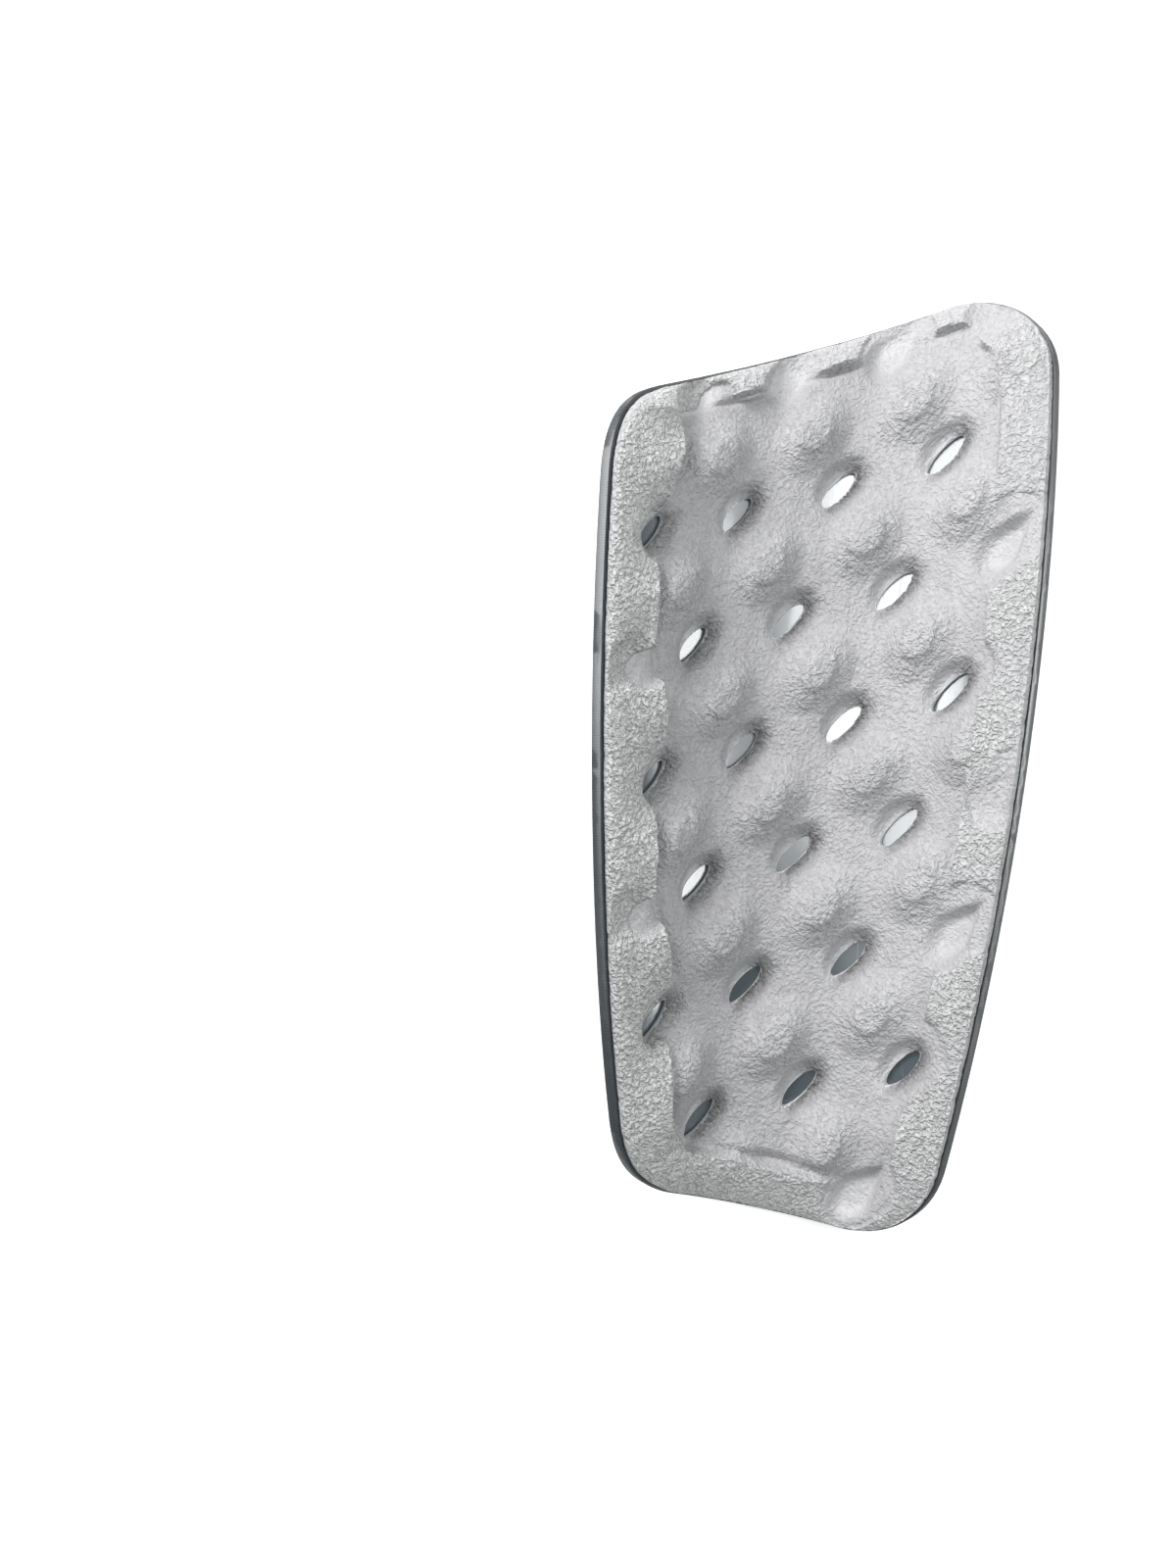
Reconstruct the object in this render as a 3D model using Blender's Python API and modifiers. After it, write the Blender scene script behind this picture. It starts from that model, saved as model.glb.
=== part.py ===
"""Leg-shaped football shin guard: a thin hard shell and the embossed foam pad bonded inside it.

Both pieces are laid out flat, as the sheets are before moulding. u runs across the leg from the ridge
that lies along the shin bone, v runs along the leg towards the knee, and w is the height above the
shell's outer face. The flat pieces are then bent round the leg into a tapering trough. The guard lies
on the outer face of its shell, with the padded side up. Metres, +Z up, +Y towards the knee.
"""
import math

import bmesh
import bpy
import numpy as np
from mathutils import Matrix, Vector
from mathutils.geometry import interpolate_bezier

# Outline of the flat shell, measured between the sharp corners that its rounded corners cut off.
# The long side lies at +u and the short side at -u.
LONG_SIDE = 0.2312
KNEE_SLANT = 0.0405  # the short side's knee corner lies this much lower than the long side's
ANKLE_SLANT = 0.0102  # the short side's ankle corner lies this much higher than the long side's
KNEE_LONG_HALF = 0.0543  # ridge to the long side at the knee
KNEE_SHORT_HALF = 0.0612
ANKLE_LONG_HALF = 0.0402
ANKLE_SHORT_HALF = 0.0397

# How far each side bows out past the straight line between its corners.
LONG_SIDE_BOW = 0.0076
SHORT_SIDE_BOW = 0.0062
KNEE_BOW = 0.0019
ANKLE_BOW = 0.0009

# How far the rounding of each corner reaches along the sides that meet there.
KNEE_LONG_REACH = 0.0264
KNEE_SHORT_REACH = 0.0174
ANKLE_LONG_REACH = 0.0216
ANKLE_SHORT_REACH = 0.0169
CORNER_PULL = 0.39  # share of a corner's chord that makes its curve close to a round arc
OUTLINE_STEPS = 8  # straight pieces in each side and each rounded corner

# Cross-section of the trough, at the outer face of the shell.
KNEE_RADIUS = 0.0652
ANKLE_RADIUS = 0.0474
RIDGE_FLAT = 0.004  # width of the flat strip along the ridge, on which the guard lies

# Thicknesses.
SHELL_WALL = 0.0022
SHELL_EDGE_BREAK = 0.0004
EDGE_BREAK_ANGLE = math.radians(60)  # only edges sharper than this are broken
BOND_GAP = 0.0003  # the glue line between the shell and the pad
PAD_INSET = 0.0006  # the pad's cut edge lies this far inside the shell's
PIT_FLOOR = 0.0017
BASIN_FLOOR = 0.0030  # where the steep wall of a pit begins
VALLEY_HEIGHT = 0.0036
DOME_HEIGHT = 0.0074
RIM_HEIGHT = 0.0068
RIM_EDGE = 0.0015  # the rim is pressed down to this thickness at the cut edge

# The embossed pattern: slots stand at the points of a slanted grid, domes rise between them.
FIRST_SLOT = (-0.0466, 0.0470)
SLOT_PITCH = 0.0274  # from slot to slot along a row
ROW_SLOPE = math.radians(18.1)
ROW_PITCH = 0.0340  # from each slot to its neighbour in the next row
ROW_LEAN = math.radians(252.7)
SLOT_LENGTH = 0.0120
SLOT_WIDTH = 0.0042
SLOT_SLOPE = math.radians(48.7)
SLOT_ROUNDNESS = 0.58  # 0.5 makes a slot an ellipse, more makes its ends sharper
SLOT_TO_EDGE = 0.0125  # grid points nearer to the edge than this are blind pockets
PIT_TO_EDGE = 0.0095  # pits whose grid point is nearer to the edge than this are fainter
BASIN_LENGTH = 0.0105  # how far the shallow basin round a pit reaches along the slot
BASIN_WIDTH = 0.0075
PIT_LENGTH = 0.0096  # how far the steep pit reaches out from its grid point along the slot
PIT_WIDTH = 0.0056
PIT_WALL = 0.55  # part of a pit's reach that its wall takes up
DOME_LENGTH = 0.0160  # how far a dome reaches out from its middle along its long direction
DOME_WIDTH = 0.0112
DOME_SLOPE = math.radians(44.0)
DOME_FLANK = 0.80  # part of a dome's reach that its flank takes up
RIM_WIDTH = 0.0105
SHORT_RIM_EXTRA = 0.0042  # the rim along the short side is wider by this
RIM_NOTCH = 0.0100  # reach of the hollows that the pits leave in the rim
RIM_SLOPE = 0.0030  # width of the step between the rim and the embossed field
RIM_SHOULDER = 0.0040  # width of the rounded shoulder along the cut edge

# Fineness of the two meshes.
SHELL_CELL = (0.0040, 0.0125)
PAD_CELL = (0.0038, 0.0040)
SLOT_POINTS = 7  # along each long side of a slot
SHEET_MARGIN = 0.004
CUT_MARGIN = 0.001
WELD_DISTANCE = 1e-6
LEVEL = 1e-12  # stands in for the height of a level piece of outline, which can't be divided by
SMOOTH_ANGLE = math.radians(50)  # edges blunter than this are shaded smooth

SHELL_COLOUR = (0.062, 0.085, 0.100, 1.0)
SHELL_ROUGHNESS = 0.22
PAD_COLOUR = (0.72, 0.72, 0.73, 1.0)
PAD_ROUGHNESS = 0.85


def clear_scene():
    for found in list(bpy.data.objects):
        bpy.data.objects.remove(found, do_unlink=True)


def make_collection(name):
    made = bpy.data.collections.new(name)
    bpy.context.scene.collection.children.link(made)
    return made


def make_material(name, colour, roughness):
    made = bpy.data.materials.new(name)
    made.use_nodes = True
    shader = made.node_tree.nodes["Principled BSDF"]
    shader.inputs["Base Color"].default_value = colour
    shader.inputs["Roughness"].default_value = roughness
    shader.inputs["Metallic"].default_value = 0.0
    return made


def outline_sides():
    """The four sharp corners of the flat shell, anticlockwise, with the bow of the side that starts at
    each corner and the reach of the corner's rounding."""
    top = LONG_SIDE / 2
    return [
        (Vector((KNEE_LONG_HALF, top)), KNEE_BOW, KNEE_LONG_REACH),
        (Vector((-KNEE_SHORT_HALF, top - KNEE_SLANT)), SHORT_SIDE_BOW, KNEE_SHORT_REACH),
        (Vector((-ANKLE_SHORT_HALF, ANKLE_SLANT - top)), ANKLE_BOW, ANKLE_SHORT_REACH),
        (Vector((ANKLE_LONG_HALF, -top)), LONG_SIDE_BOW, ANKLE_LONG_REACH),
    ]


def crossing(point_a, along_a, point_b, along_b):
    """The point where two lines in the plane cross."""
    share = (point_b - point_a).cross(along_b) / along_a.cross(along_b)
    return point_a + along_a * share


def inset_corners(inset):
    """The sharp corners after each side has moved inwards by inset."""
    corners = [corner for corner, _, _ in outline_sides()]
    moved = []
    for i, corner in enumerate(corners):
        before = (corner - corners[i - 1]).normalized()
        after = (corners[(i + 1) % 4] - corner).normalized()
        inward_before = Vector((-before.y, before.x)) * inset
        inward_after = Vector((-after.y, after.x)) * inset
        moved.append(crossing(corner + inward_before, before, corner + inward_after, after))
    return moved


def outline(inset=0.0):
    """The closed flat outline as points, anticlockwise: bowed sides joined by rounded corners."""
    corners = inset_corners(inset)
    bows = [bow for _, bow, _ in outline_sides()]
    reaches = [reach - inset for _, _, reach in outline_sides()]
    sides = []
    for i, bow in enumerate(bows):
        start, end = corners[i], corners[(i + 1) % 4]
        along = end - start
        outward = Vector((along.y, -along.x)).normalized()
        tilt = 4 * bow / along.length
        rise = along.normalized() + outward * tilt
        fall = along.normalized() - outward * tilt
        first = start + rise * reaches[i]
        last = end - fall * reaches[(i + 1) % 4]
        sides.append((first, rise.normalized(), last, fall.normalized()))
    points = []
    for i, (first, rise, last, fall) in enumerate(sides):
        third = (last - first).length / 3
        points += interpolate_bezier(
            first, first + rise * third, last - fall * third, last, OUTLINE_STEPS + 1
        )[:-1]
        next_first, next_rise = sides[(i + 1) % 4][:2]
        pull = (next_first - last).length * CORNER_PULL
        points += interpolate_bezier(
            last, last + fall * pull, next_first - next_rise * pull, next_first, OUTLINE_STEPS + 1
        )[:-1]
    return [Vector((point.x, point.y)) for point in points]


def edge_distance(u, v, points):
    """How far each flat point lies inside a closed outline, negative outside."""
    starts = np.array([tuple(point) for point in points])
    ends = np.roll(starts, -1, axis=0)
    spans = ends - starts
    from_start = np.stack([u, v], axis=-1)[:, None, :] - starts[None, :, :]
    share = np.clip((from_start * spans).sum(-1) / (spans * spans).sum(-1), 0, 1)
    nearest = np.linalg.norm(from_start - share[..., None] * spans, axis=-1).min(axis=1)
    straddles = (starts[:, 1] > v[:, None]) != (ends[:, 1] > v[:, None])
    height = np.where(np.abs(spans[:, 1]) < LEVEL, LEVEL, spans[:, 1])
    crossing_u = starts[:, 0] + (v[:, None] - starts[:, 1]) / height * spans[:, 0]
    inside = (straddles & (u[:, None] < crossing_u)).sum(axis=1) % 2 == 1
    return np.where(inside, nearest, -nearest)


def grid_steps():
    """The step from slot to slot in a row, and the step from a row to the next."""
    row = Vector((math.cos(ROW_SLOPE), math.sin(ROW_SLOPE))) * SLOT_PITCH
    down = Vector((math.cos(ROW_LEAN), math.sin(ROW_LEAN))) * ROW_PITCH
    return row, down


def slot_centres():
    """The grid points that lie far enough inside the edge to be slots cut right through."""
    row, down = grid_steps()
    reach = math.ceil(2 * LONG_SIDE / min(SLOT_PITCH, ROW_PITCH))
    found = [
        Vector(FIRST_SLOT) + row * i + down * j
        for j in range(-reach, reach + 1)
        for i in range(-reach, reach + 1)
    ]
    u = np.array([point.x for point in found])
    v = np.array([point.y for point in found])
    inside = edge_distance(u, v, outline())
    return [point for point, depth in zip(found, inside) if depth > SLOT_TO_EDGE]


def smooth_step(value):
    value = np.clip(value, 0, 1)
    return value * value * (3 - 2 * value)


def along_across(u, v, slope):
    """Parts of flat offsets along a slanted direction and across it."""
    return u * math.cos(slope) + v * math.sin(slope), v * math.cos(slope) - u * math.sin(slope)


def pad_height(u, v):
    """Height of the pad's embossed face above its back, at each flat point."""
    row, down = grid_steps()
    to_grid = np.linalg.inv(np.array([[row.x, down.x], [row.y, down.y]]))
    column, line = to_grid @ np.stack([u - FIRST_SLOT[0], v - FIRST_SLOT[1]])

    part_column, part_line = column % 1 - 0.5, line % 1 - 0.5
    off_u = row.x * part_column + down.x * part_line
    off_v = row.y * part_column + down.y * part_line
    along, across = along_across(off_u, off_v, DOME_SLOPE)
    away = np.hypot(along / DOME_LENGTH, across / DOME_WIDTH)
    height = VALLEY_HEIGHT + (DOME_HEIGHT - VALLEY_HEIGHT) * smooth_step((1 - away) / DOME_FLANK)

    slot_u = FIRST_SLOT[0] + row.x * np.round(column) + down.x * np.round(line)
    slot_v = FIRST_SLOT[1] + row.y * np.round(column) + down.y * np.round(line)
    loop = outline(PAD_INSET)
    present = smooth_step(edge_distance(slot_u, slot_v, loop) / PIT_TO_EDGE)
    along, across = along_across(u - slot_u, v - slot_v, SLOT_SLOPE)
    basin_share = np.exp(-((along / BASIN_LENGTH) ** 2) - (across / BASIN_WIDTH) ** 2) * present
    steep = np.hypot(along / PIT_LENGTH, across / PIT_WIDTH)
    pit_share = smooth_step((1 - steep) / PIT_WALL) * present
    away = np.hypot(along, across * BASIN_LENGTH / BASIN_WIDTH)
    notch_share = smooth_step((RIM_NOTCH * (1 + present) / 2 - away) / RIM_SLOPE + 0.5) * present

    inside = edge_distance(u, v, loop)
    rim_width = RIM_WIDTH + SHORT_RIM_EXTRA * smooth_step(-u / ANKLE_SHORT_HALF)
    rim_share = smooth_step((rim_width - inside) / RIM_SLOPE + 0.5) * (1 - notch_share)
    height = height + (RIM_HEIGHT - height) * rim_share
    height = height + np.minimum(BASIN_FLOOR - height, 0) * basin_share
    height = height + (PIT_FLOOR - height) * pit_share

    shoulder = 1 - np.clip(inside / RIM_SHOULDER, 0, 1)
    edge_share = 1 - np.sqrt(1 - shoulder**2)
    return height + (RIM_EDGE - height) * edge_share


def flat_sheet(name, cell, thickness, collection):
    """A flat slab of small cells, larger than the outline, with its lower face at w = 0."""
    points = outline()
    half_u = max(abs(point.x) for point in points) + SHEET_MARGIN
    half_v = max(abs(point.y) for point in points) + SHEET_MARGIN
    columns = 2 * math.ceil((half_u - RIDGE_FLAT / 2) / cell[0]) + 1
    rows = math.ceil(2 * half_v / cell[1])
    bpy.ops.mesh.primitive_grid_add(x_subdivisions=columns, y_subdivisions=rows, size=1)
    sheet = bpy.context.object
    sheet.name = name
    for vertex in sheet.data.vertices:
        # The middle column is the flat strip along the ridge, the others have the cell's width.
        step = vertex.co.x * columns
        past_strip = (abs(step) - 0.5) * cell[0]
        vertex.co.x = math.copysign(RIDGE_FLAT / 2 + past_strip, step)
        vertex.co.y = vertex.co.y * 2 * half_v
    for owner in list(sheet.users_collection):
        owner.objects.unlink(sheet)
    collection.objects.link(sheet)
    solid = sheet.modifiers.new("Thickness", "SOLIDIFY")
    solid.thickness = thickness
    solid.offset = 1.0
    return sheet


def settle(source):
    """A plain mesh object in place of one with modifiers or of a curve, its loose caps welded."""
    bpy.context.view_layer.update()
    evaluated = source.evaluated_get(bpy.context.evaluated_depsgraph_get())
    mesh = bpy.data.meshes.new_from_object(evaluated)
    shape = bmesh.new()
    shape.from_mesh(mesh)
    bmesh.ops.remove_doubles(shape, verts=shape.verts, dist=WELD_DISTANCE)
    bmesh.ops.recalc_face_normals(shape, faces=shape.faces)
    shape.to_mesh(mesh)
    shape.free()
    made = bpy.data.objects.new(source.name, mesh)
    made.matrix_world = source.matrix_world
    for owner in source.users_collection:
        owner.objects.link(made)
    name = source.name
    bpy.data.objects.remove(source, do_unlink=True)
    made.name = name
    return made


def flat_cutter(name, loops, low, high, collection):
    """Upright prisms over closed flat outlines, from height low to height high, as one cutter."""
    curve = bpy.data.curves.new(name, "CURVE")
    curve.dimensions = "2D"
    curve.fill_mode = "BOTH"
    curve.extrude = (high - low) / 2
    for loop in loops:
        spline = curve.splines.new("POLY")
        spline.points.add(len(loop) - 1)
        for point, place in zip(spline.points, loop):
            point.co = (place.x, place.y, 0, 1)
        spline.use_cyclic_u = True
    drawn = bpy.data.objects.new(name, curve)
    drawn.matrix_world = Matrix.Translation((0, 0, (low + high) / 2))
    collection.objects.link(drawn)
    cutter = settle(drawn)
    cutter.hide_render = True
    cutter.display_type = "WIRE"
    return cutter


def slot_loop(centre):
    """The lens-shaped outline of one slot."""
    loop = []
    for side in (1, -1):
        for i in range(SLOT_POINTS):
            x = -math.cos(math.pi * i / SLOT_POINTS) * side
            half = (1 - x * x) ** SLOT_ROUNDNESS * SLOT_WIDTH / 2 * -side
            x *= SLOT_LENGTH / 2
            loop.append(
                centre
                + Vector(
                    (
                        x * math.cos(SLOT_SLOPE) - half * math.sin(SLOT_SLOPE),
                        x * math.sin(SLOT_SLOPE) + half * math.cos(SLOT_SLOPE),
                    )
                )
            )
    return loop


def cut(target, cutter, operation):
    boolean = target.modifiers.new(operation.title(), "BOOLEAN")
    boolean.operation = operation
    boolean.solver = "EXACT"
    boolean.object = cutter


def bend(flat, base):
    """Bends a flat piece round the leg. Its lowest face goes to height base above the outer face."""
    half = LONG_SIDE / 2
    for vertex in flat.data.vertices:
        u, v, w = vertex.co
        w += base
        radius = ANKLE_RADIUS + (KNEE_RADIUS - ANKLE_RADIUS) * (v + half) / LONG_SIDE
        past_strip = max(abs(u) - RIDGE_FLAT / 2, 0.0)
        angle = past_strip / radius
        across = min(abs(u), RIDGE_FLAT / 2) + (radius - w) * math.sin(angle)
        vertex.co = (math.copysign(across, u), v, radius - (radius - w) * math.cos(angle))
    flat.data.update()


def make_shell(collection, cutters):
    sheet = flat_sheet("shell", SHELL_CELL, SHELL_WALL, collection)
    trim = flat_cutter("shell_outline", [outline()], -CUT_MARGIN, SHELL_WALL + CUT_MARGIN, cutters)
    cut(sheet, trim, "INTERSECT")
    edge = sheet.modifiers.new("Edge break", "BEVEL")
    edge.width = SHELL_EDGE_BREAK
    edge.segments = 1
    edge.limit_method = "ANGLE"
    edge.angle_limit = EDGE_BREAK_ANGLE
    shell = settle(sheet)
    bend(shell, 0.0)
    shell.data.materials.append(make_material("shell_plastic", SHELL_COLOUR, SHELL_ROUGHNESS))
    return shell


def emboss(flat):
    """Presses the upper face of the flat pad into its rim, domes and pits."""
    top = [vertex for vertex in flat.data.vertices if vertex.co.z > DOME_HEIGHT / 2]
    u = np.array([vertex.co.x for vertex in top])
    v = np.array([vertex.co.y for vertex in top])
    for vertex, height in zip(top, pad_height(u, v)):
        vertex.co.z = height
    flat.data.update()


def make_pad(collection, cutters):
    sheet = flat_sheet("foam_pad", PAD_CELL, DOME_HEIGHT, collection)
    high = DOME_HEIGHT + CUT_MARGIN
    trim = flat_cutter("pad_outline", [outline(PAD_INSET)], -CUT_MARGIN, high, cutters)
    loops = [slot_loop(centre) for centre in slot_centres()]
    slots = flat_cutter("pad_slots", loops, -CUT_MARGIN, high, cutters)
    cut(sheet, trim, "INTERSECT")
    cut(sheet, slots, "DIFFERENCE")
    pad = settle(sheet)
    emboss(pad)
    bend(pad, SHELL_WALL + BOND_GAP)
    pad.data.materials.append(make_material("pad_foam", PAD_COLOUR, PAD_ROUGHNESS))
    return pad


def centre_on_origin(pieces):
    """Moves the pieces so that the origin is at the middle of the guard's base."""
    low = Vector([min(vertex.co[i] for piece in pieces for vertex in piece.data.vertices) for i in range(3)])
    high = Vector([max(vertex.co[i] for piece in pieces for vertex in piece.data.vertices) for i in range(3)])
    middle = Vector(((low.x + high.x) / 2, (low.y + high.y) / 2, low.z))
    for piece in pieces:
        piece.data.transform(Matrix.Translation(-middle))
        piece.data.shade_smooth()
        piece.data.set_sharp_from_angle(angle=SMOOTH_ANGLE)


def main():
    clear_scene()
    guard = make_collection("shin_guard")
    cutters = make_collection("cutters")
    shell = make_shell(guard, cutters)
    pad = make_pad(guard, cutters)
    centre_on_origin([shell, pad])


main()
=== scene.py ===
"""Looks of a leg-shaped football shin guard: its glossy shell, its embossed foam pad, and a plain stage.

Both pieces are laid out flat, as the sheets are before moulding: u runs across the leg from the ridge
along the shin bone, v runs towards the knee and w is the height above the shell's outer face. They
are then bent round the leg. Metres, +Z up, +Y towards the knee.
"""
import math

import bmesh
import bpy
import numpy as np
from bpy.props import FloatProperty, FloatVectorProperty, PointerProperty
from mathutils import Matrix, Vector, noise
from mathutils.geometry import interpolate_bezier


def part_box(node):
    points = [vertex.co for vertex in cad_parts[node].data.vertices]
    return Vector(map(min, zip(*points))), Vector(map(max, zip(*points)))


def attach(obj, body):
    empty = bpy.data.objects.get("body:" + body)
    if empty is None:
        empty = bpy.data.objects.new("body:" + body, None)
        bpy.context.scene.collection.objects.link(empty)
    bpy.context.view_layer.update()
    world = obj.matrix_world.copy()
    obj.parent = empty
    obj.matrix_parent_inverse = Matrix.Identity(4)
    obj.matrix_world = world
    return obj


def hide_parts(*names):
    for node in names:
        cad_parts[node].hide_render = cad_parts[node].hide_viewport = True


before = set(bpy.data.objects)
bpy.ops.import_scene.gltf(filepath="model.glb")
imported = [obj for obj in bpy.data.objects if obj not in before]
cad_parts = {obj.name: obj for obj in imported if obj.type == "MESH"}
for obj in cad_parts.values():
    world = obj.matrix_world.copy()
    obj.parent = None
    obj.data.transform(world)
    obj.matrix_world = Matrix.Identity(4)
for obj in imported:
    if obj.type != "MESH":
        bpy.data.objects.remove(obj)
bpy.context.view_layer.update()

bl_info = {
    "name": "Shin Guard",
    "version": (1, 0, 0),
    "blender": (4, 5, 0),
    "location": "View3D > Sidebar > Shin Guard",
    "description": "Builds the shell and the embossed foam pad of a football shin guard",
    "category": "Add Mesh",
}


def size(name, description, metres):
    """A length that a user can change."""
    return FloatProperty(name=name, description=description, default=metres, unit="LENGTH", precision=5)


def turn(name, description, degrees):
    """An angle that a user can change."""
    return FloatProperty(name=name, description=description, default=math.radians(degrees), unit="ROTATION")


def share(name, description, value):
    """A plain number that a user can change."""
    return FloatProperty(name=name, description=description, default=value, precision=4)


def tint(name, description, value):
    """A linear colour that a user can change."""
    return FloatVectorProperty(
        name=name, description=description, default=value, subtype="COLOR", size=3, min=0, max=1
    )


class GuardOutline(bpy.types.PropertyGroup):
    """Flat outline of the shell, measured between its sharp corners before they are rounded."""

    long_side: size("Long side", "Length of the side at +u", 0.2312)
    knee_slant: size("Knee slant", "Drop of the short side's knee corner", 0.0405)
    ankle_slant: size("Ankle slant", "Rise of the short side's ankle corner", 0.0102)
    knee_long_half: size("Knee, long half", "Ridge to the long side at the knee", 0.0543)
    knee_short_half: size("Knee, short half", "Ridge to the short side at the knee", 0.0612)
    ankle_long_half: size("Ankle, long half", "Ridge to the long side at the ankle", 0.0402)
    ankle_short_half: size("Ankle, short half", "Ridge to the short side at the ankle", 0.0397)
    long_side_bow: size("Long side bow", "How far the long side bows out", 0.0076)
    short_side_bow: size("Short side bow", "How far the short side bows out", 0.0062)
    knee_bow: size("Knee bow", "How far the knee end bows out", 0.0019)
    ankle_bow: size("Ankle bow", "How far the ankle end bows out", 0.0009)
    knee_long_reach: size("Knee, long corner", "Reach of this corner's rounding", 0.0264)
    knee_short_reach: size("Knee, short corner", "Reach of this corner's rounding", 0.0174)
    ankle_long_reach: size("Ankle, long corner", "Reach of this corner's rounding", 0.0216)
    ankle_short_reach: size("Ankle, short corner", "Reach of this corner's rounding", 0.0169)


class GuardSection(bpy.types.PropertyGroup):
    """Trough and thicknesses."""

    knee_radius: size("Knee radius", "Outer radius of the trough at the knee", 0.0652)
    ankle_radius: size("Ankle radius", "Outer radius of the trough at the ankle", 0.0474)
    ridge_flat: size("Ridge flat", "Width of the flat strip along the ridge", 0.004)
    shell_wall: size("Shell wall", "Thickness of the shell", 0.0022)
    shell_round: size("Shell edge", "Rounding of the shell's cut edge", 0.00035)
    bond_gap: size("Bond gap", "Glue line between shell and pad", 0.0003)
    pad_inset: size("Pad inset", "Pad edge inside the shell edge", 0.0006)
    pad_shift: size("Pad shift", "How far the pad sits off centre towards the long side", 0.0004)


class PadRelief(bpy.types.PropertyGroup):
    """The embossed pattern of the pad."""

    first_u: size("First slot, u", "Place of the first slot across the leg", -0.0466)
    first_v: size("First slot, v", "Place of the first slot along the leg", 0.0470)
    slot_pitch: size("Slot pitch", "Slot to slot along a row", 0.0274)
    row_slope: turn("Row slope", "Direction of a row", 18.1)
    row_pitch: size("Row pitch", "Slot to its neighbour in the next row", 0.0340)
    row_lean: turn("Row lean", "Direction to the next row", 252.7)
    slot_length: size("Slot length", "Length of a slot", 0.0120)
    slot_width: size("Slot width", "Width of a slot", 0.0037)
    slot_slope: turn("Slot slope", "Direction of the slots", 48.7)
    slot_to_edge: size("Slot to edge", "Grid points nearer to the edge are blind", 0.0125)
    pit_to_edge: size("Pit to edge", "Pits fade out over this distance from the edge", 0.0045)
    notch_fade: size("Notch fade", "Rim notches fade out over this distance either side of the edge", 0.0035)
    pit_floor: size("Pit floor", "Foam thickness at a slot", 0.0005)
    basin_floor: size("Basin floor", "Foam thickness where the steep wall of a pit begins", 0.0028)
    basin_length: size("Basin length", "Reach of the shallow basin along its slot", 0.0105)
    basin_width: size("Basin width", "Reach of the shallow basin across its slot", 0.0075)
    pit_length: size("Pit length", "Reach of the steep pit along its slot", 0.0096)
    pit_width: size("Pit width", "Reach of the steep pit across its slot", 0.0060)
    pit_wall: share("Pit wall", "Part of a pit's reach taken up by its wall", 0.60)
    pit_shift: size("Pit shift", "How far a pit lies beyond its slot, along the slot", 0.0010)
    pit_tip: size("Pit tip", "How much further a pit's point reaches at the long side", 0.0040)
    lip_height: size("Lip height", "Rise of the lip round each slot", 0.0004)
    lip_width: size("Lip width", "Reach of the lip round each slot", 0.0012)
    # Reach of the painted shade beside each slot
    slot_shade_width: size("Halo width", "Reach of the shaded foam beside each slot", 0.0021)
    valley_height: size("Valley height", "Foam thickness in the valleys", 0.0041)
    dome_height: size("Dome height", "Foam thickness at a dome", 0.0074)
    dome_length: size("Dome length", "Reach of a dome along its long direction", 0.0132)
    dome_width: size("Dome width", "Reach of a dome across its long direction", 0.0094)
    dome_slope: turn("Dome slope", "Long direction of the domes", 49.0)
    dome_flank: share("Dome flank", "Part of a dome's reach taken up by its flank", 0.58)
    cap_height: size("Cap height", "Rise of the flat cap on top of each dome", 0.0011)
    cap_reach: share("Cap reach", "Part of a dome's reach covered by its cap", 0.43)
    cap_edge: size("Cap edge", "Width of the step down from a dome's cap", 0.0013)
    rim_height: size("Rim height", "Foam thickness at the inner border of the rim", 0.0062)
    short_rim_rise: size("Short side rise", "Extra rim thickness along the short side", 0.0018)
    rim_curve: share("Rim curve", "Below 1 the rim rises quickly at first, then levels off", 0.75)
    edge_fade: size("Edge fade", "Width over which the foam thins out towards the cut edge", 0.0065)
    rim_edge: size("Rim edge", "Thickness at the cut edge", 0.0014)
    knee_rim: size("Rim, knee end", "Width of the rim along the knee end", 0.0064)
    short_rim: size("Rim, short side", "Mean width of the rim along the short side", 0.0148)
    ankle_rim: size("Rim, ankle end", "Width of the rim along the ankle end", 0.0112)
    long_rim: size("Rim, long side", "Width of the rim along the long side", 0.0102)
    rim_sway: size("Rim sway", "How far the rim's border sways along the short side", 0.0024)
    sway_pitch: size("Sway pitch", "Length of one sway of the rim's border", 0.0585)
    rim_notch: size("Rim notch", "Reach of the hollows that the pits leave in the rim", 0.0098)
    short_notch: share("Short side notch", "How much smaller the hollows are in the short side's rim", 0.43)
    notch_shift: size("Notch shift", "How far inward the hollows in the short side's rim lie", 0.0075)
    rim_slope: size("Rim slope", "Width of the step down from the rim", 0.0010)
    moat_depth: size("Moat depth", "Depth of the groove along the rim's inner border", 0.0017)
    moat_width: size("Moat width", "Width of the groove along the rim's inner border", 0.0014)
    long_side_fill: share("Groove fill", "Part of the groove that is filled along the long side", 0.8)
    rim_shoulder: size("Rim shoulder", "Width of the rounded shoulder at the cut edge", 0.0014)
    unevenness: size("Unevenness", "Depth of the slow unevenness of the foam", 0.00030)
    ragged_cut: size("Ragged cut", "Depth of the nicks in the cut edge", 0.00035)


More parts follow.
